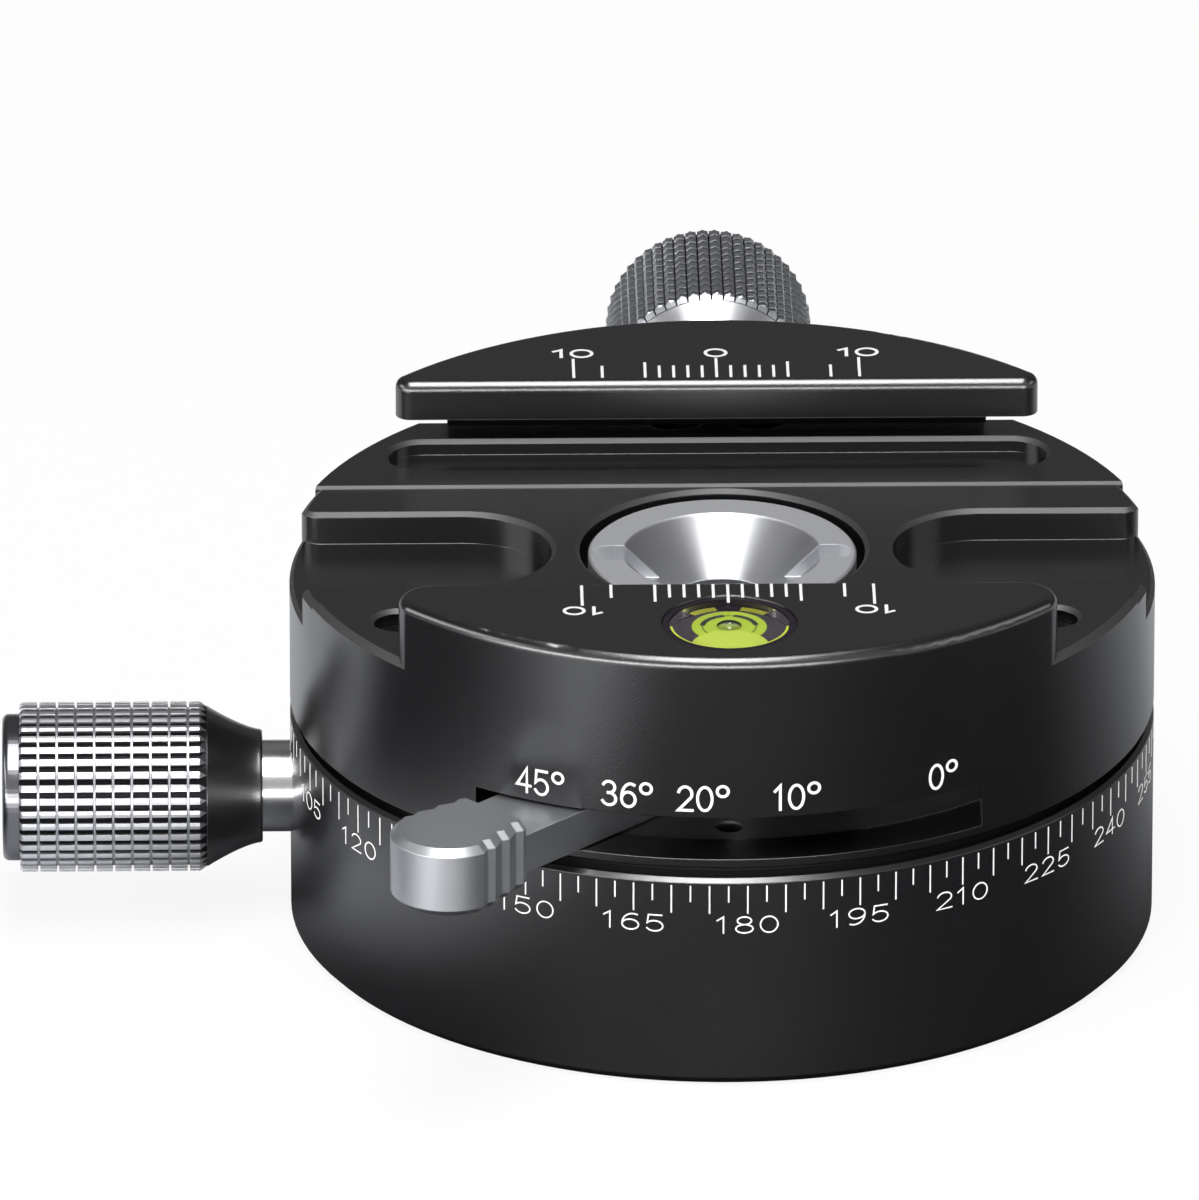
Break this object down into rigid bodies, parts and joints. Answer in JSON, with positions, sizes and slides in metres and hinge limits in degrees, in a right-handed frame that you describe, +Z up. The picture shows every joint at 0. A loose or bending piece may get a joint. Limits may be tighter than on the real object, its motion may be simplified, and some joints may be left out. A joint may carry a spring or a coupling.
{
  "type": "indexing panning clamp",
  "caption": "Low round camera panning base with a degree scale, an index lever with click stops, a side lock knob, and a dovetail plate clamp with bullseye level on top.",
  "frame": {"origin": "centre of the underside of the base, on the tripod thread's axis at its mouth", "axes": "+Z up along the pan axis, -Y towards the index lever and fixed jaw, +Y towards the clamp knob, -X towards the lock knob"},
  "size_m": [0.08, 0.0878, 0.0319],
  "materials": {
    "black_anodised": "black anodised, fine satin",
    "bright_machined": "bright turned steel",
    "knurled_silver": "clear anodised, knurled",
    "silver_blasted": "bead blasted, clear anodised",
    "steel": "ground steel",
    "black_steel": "black oxide",
    "bronze": "plain bearing bronze",
    "dark_plastic": "low friction plastic",
    "level_black": "moulded",
    "level_fluid": "coloured spirit",
    "level_bubble": "air bubble",
    "level_lens": "clear acrylic"
  },
  "bodies": {
    "base": {"base_housing": "black_anodised", "tripod_insert": "steel", "spindle_screw": "bright_machined", "spindle_washer": "bronze", "index_disc": "steel", "disc_screws": "steel", "glide_ring": "dark_plastic"},
    "lock_shoe": {"lock_shoe": "bronze"},
    "lock_knob": {"lock_screw": "bright_machined", "lock_collar": "black_anodised", "lock_knob": "knurled_silver", "lock_cap": "knurled_silver"},
    "rotor": {"upper_body": "black_anodised", "rotor_plate": "black_anodised", "plate_screws": "steel", "spindle_bush": "bronze", "deck_screws": "black_steel", "level_cup": "level_black", "level_fluid": "level_fluid", "level_bubble": "level_bubble", "level_lens": "level_lens", "lever_pin": "steel"},
    "lever": {"index_lever": "silver_blasted", "detent_spring": "steel"},
    "detent": {"detent_ball": "steel"},
    "jaw": {"moving_jaw": "black_anodised", "guide_pins": "steel", "jaw_spring": "steel", "clamp_washer": "steel"},
    "clamp_knob": {"clamp_screw": "bright_machined", "clamp_collar": "bright_machined", "clamp_knob": "knurled_silver", "clamp_cap": "knurled_silver"}
  },
  "joints": [
    {"name": "pan_turn", "type": "hinge", "parent": "base", "child": "rotor", "pos_m": [0, 0, 0], "axis": [0, 0, 1], "continuous": true},
    {"name": "lever_swing", "type": "hinge", "parent": "rotor", "child": "lever", "pos_m": [0, -0.0133, 0.0185], "axis": [0, 0, 1], "range_deg": [0, 91]},
    {"name": "detent_travel", "type": "slide", "parent": "lever", "child": "detent", "axis": [0, 0, 1], "range_m": [-0.00035, 0], "deforming": ["detent_spring"]},
    {"name": "jaw_slide", "type": "slide", "parent": "rotor", "child": "jaw", "axis": [0, 1, 0], "range_m": [0, 0.005], "deforming": ["jaw_spring"]},
    {"name": "clamp_turn", "type": "hinge", "parent": "jaw", "child": "clamp_knob", "pos_m": [0, 0.04, 0.0233], "axis": [0, 1, 0], "range_deg": [0, 2250]},
    {"name": "lock_slide", "type": "slide", "parent": "base", "child": "lock_shoe", "axis": [1, 0, 0], "range_m": [0, 0.00035]},
    {"name": "lock_turn", "type": "hinge", "parent": "lock_shoe", "child": "lock_knob", "pos_m": [-0.04, 0, 0.0094], "axis": [1, 0, 0], "range_deg": [0, 126]}
  ],
  "couplings": [
    {"joint": "clamp_turn", "follows": "jaw_slide", "rad_per_m": 7853.9},
    {"joint": "lock_turn", "follows": "lock_slide", "rad_per_m": 6283.1}
  ]
}
